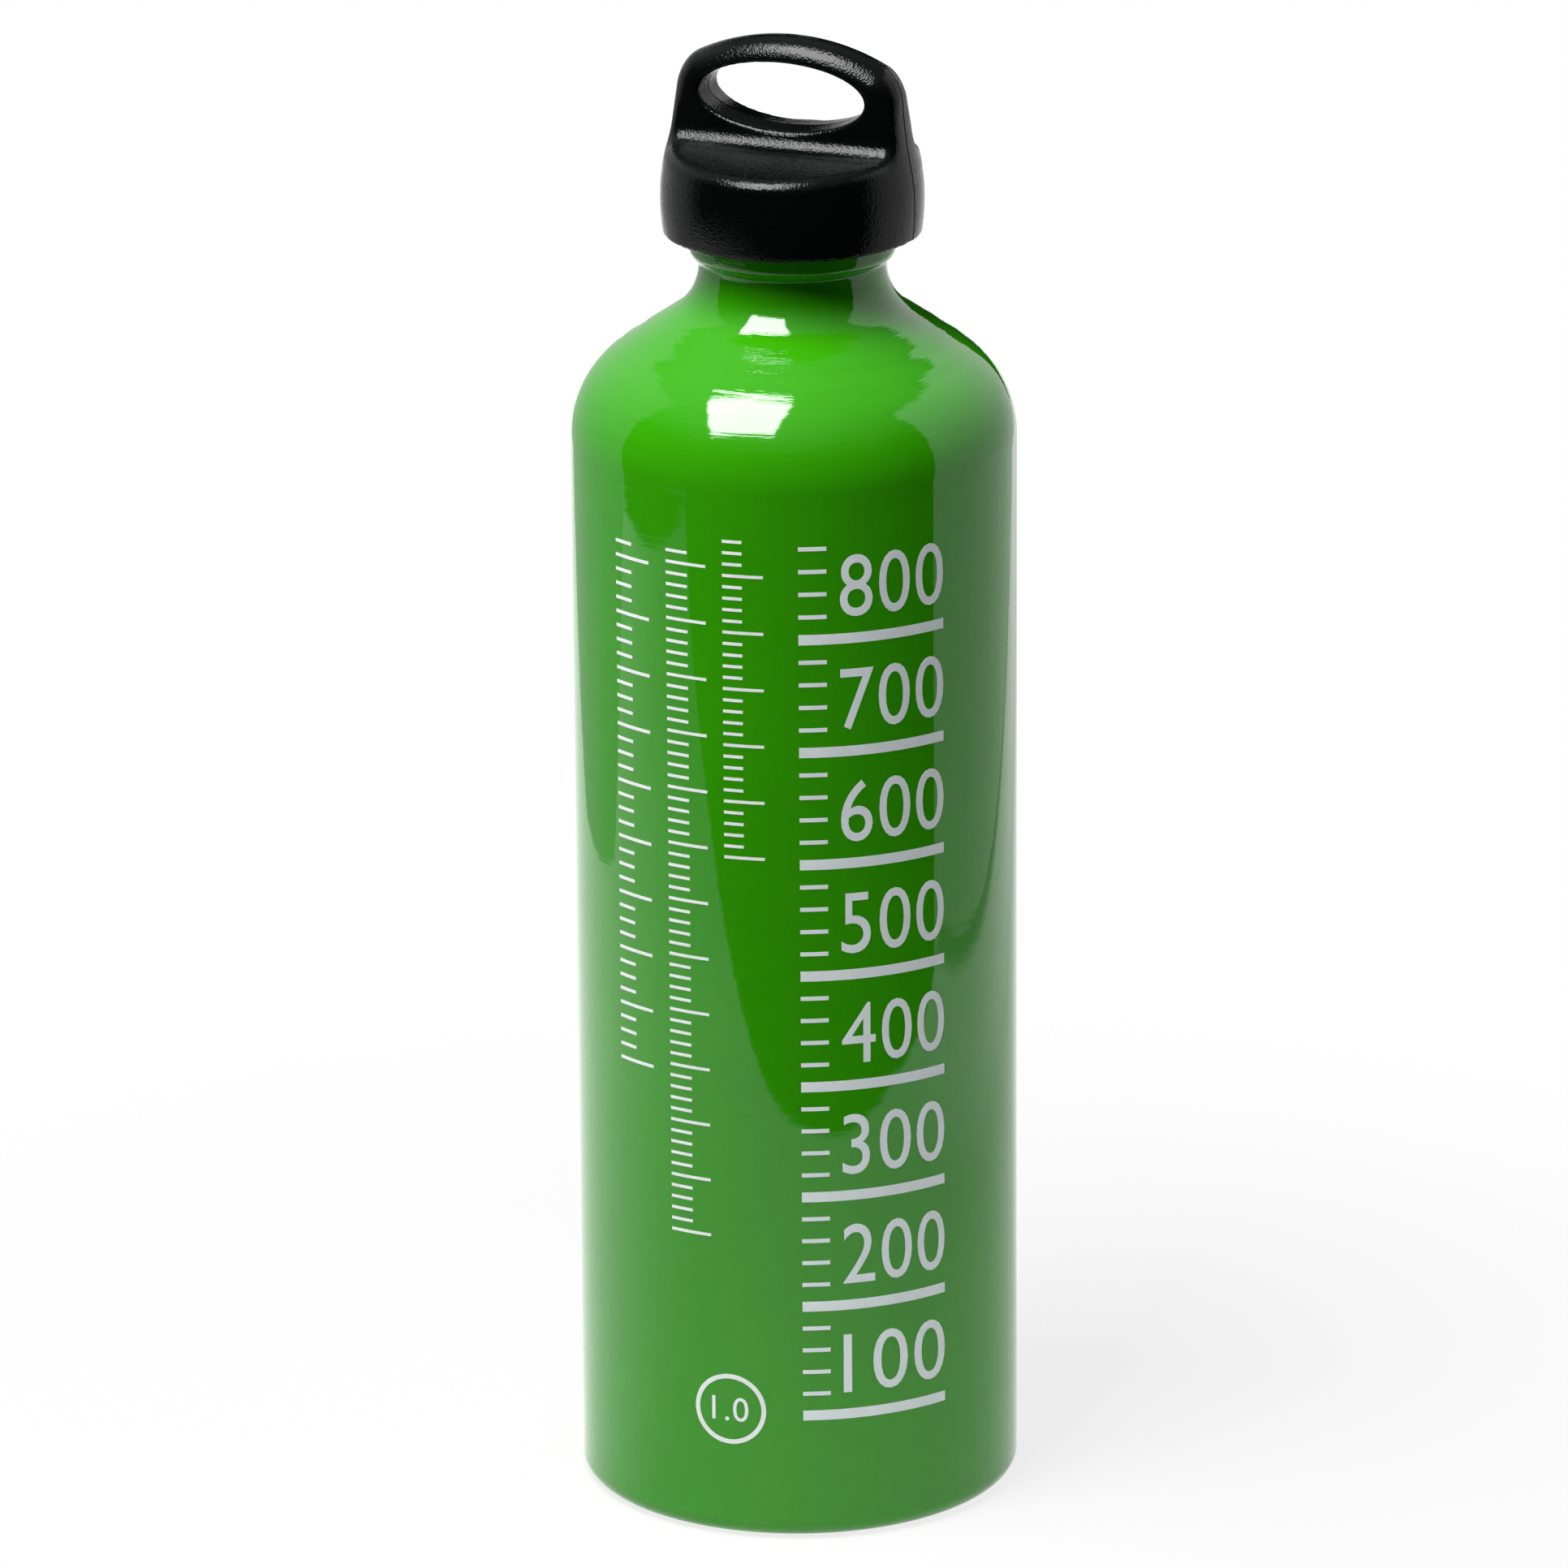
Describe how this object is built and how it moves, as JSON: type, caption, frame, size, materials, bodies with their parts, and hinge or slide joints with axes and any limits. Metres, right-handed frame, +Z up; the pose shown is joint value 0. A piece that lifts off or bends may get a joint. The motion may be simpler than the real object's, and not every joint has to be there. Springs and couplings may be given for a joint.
{
  "type": "camping fuel bottle",
  "caption": "Round aluminium fuel bottle with a necked shoulder and a push-and-turn screw cap with a loop handle.",
  "frame": {"origin": "middle of the standing ring, on the surface that the bottle stands on", "axes": "+Z up along the bottle's axis, +X along the cap's handle, +Y through the handle's hole"},
  "size_m": [0.08, 0.08, 0.27],
  "materials": {
    "green_paint": "glossy green enamel on drawn aluminium",
    "bare_aluminium": "bare drawn aluminium inside and on the rim",
    "print_ink": "pale printed ink of the fill scale",
    "plug_plastic": "moulded dark plastic",
    "seal_rubber": "fuel-resistant rubber",
    "spring_steel": "drawn spring wire",
    "cap_plastic": "finely textured black moulding"
  },
  "bodies": {
    "bottle": {"bottle_shell": "green_paint"},
    "seal": {"sealing_ring": "seal_rubber"},
    "plug": {"threaded_plug": "plug_plastic", "return_spring": "spring_steel"},
    "cap": {"cap_shell": "cap_plastic"}
  },
  "joints": [
    {"name": "cap_rise", "type": "slide", "parent": "bottle", "child": "seal", "axis": [0, 0, 1], "range_m": [0, 0.0152]},
    {"name": "cap_turn", "type": "hinge", "parent": "seal", "child": "plug", "pos_m": [0, 0, 0.2388], "axis": [0, 0, 1], "range_deg": [0, 1800]},
    {"name": "cap_push", "type": "slide", "parent": "plug", "child": "cap", "axis": [0, 0, 1], "range_m": [-0.002, 0], "stiffness_N_per_m": 4000, "springref_m": 0.003, "deforming": ["return_spring"]}
  ],
  "couplings": [
    {"joint": "cap_rise", "follows": "cap_turn", "m_per_rad": 0.00047746}
  ]
}
